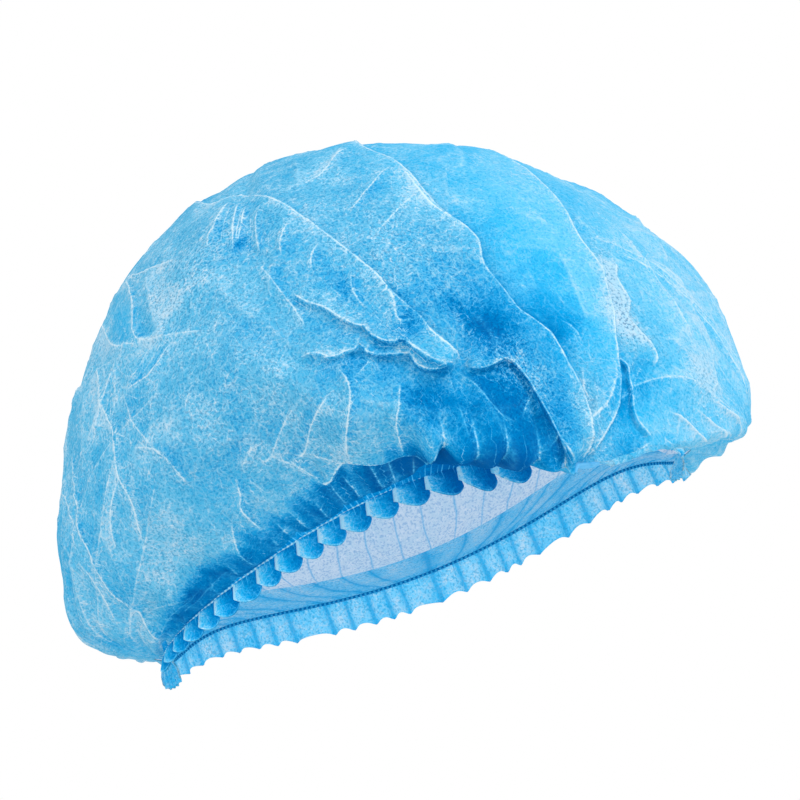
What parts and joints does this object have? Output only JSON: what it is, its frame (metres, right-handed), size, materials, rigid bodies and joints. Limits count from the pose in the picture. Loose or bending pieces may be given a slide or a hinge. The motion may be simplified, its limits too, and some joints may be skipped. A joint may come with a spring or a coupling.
{
  "type": "disposable surgical cap",
  "caption": "Puffed bouffant cap of pleated nonwoven cloth, with an oval head opening edged by gathered elastic hems.",
  "frame": {"origin": "centre of the head opening, where a head goes in and holds the cap up", "axes": "+Z out of the opening towards the crown, +X along the opening's long axis towards the right gathered end, the front edge faces -Y"},
  "size_m": [0.2768, 0.2354, 0.187],
  "materials": {
    "nonwoven_cloth": "thin spunbond polypropylene cloth, matt, slightly see-through, with a fine web of fibres",
    "hem_cloth": "the same cloth folded double and gathered, deeper blue",
    "elastic": "thin pale blue elastic with a cross-stitched, rope-like surface",
    "welded_cloth": "pleats bunched and welded together, deep blue"
  },
  "bodies": {
    "root": {"crown": "nonwoven_cloth", "front_hem": "hem_cloth", "back_hem": "hem_cloth", "front_elastic": "elastic", "back_elastic": "elastic", "left_end_gather": "welded_cloth", "right_end_gather": "welded_cloth"}
  },
  "joints": []
}
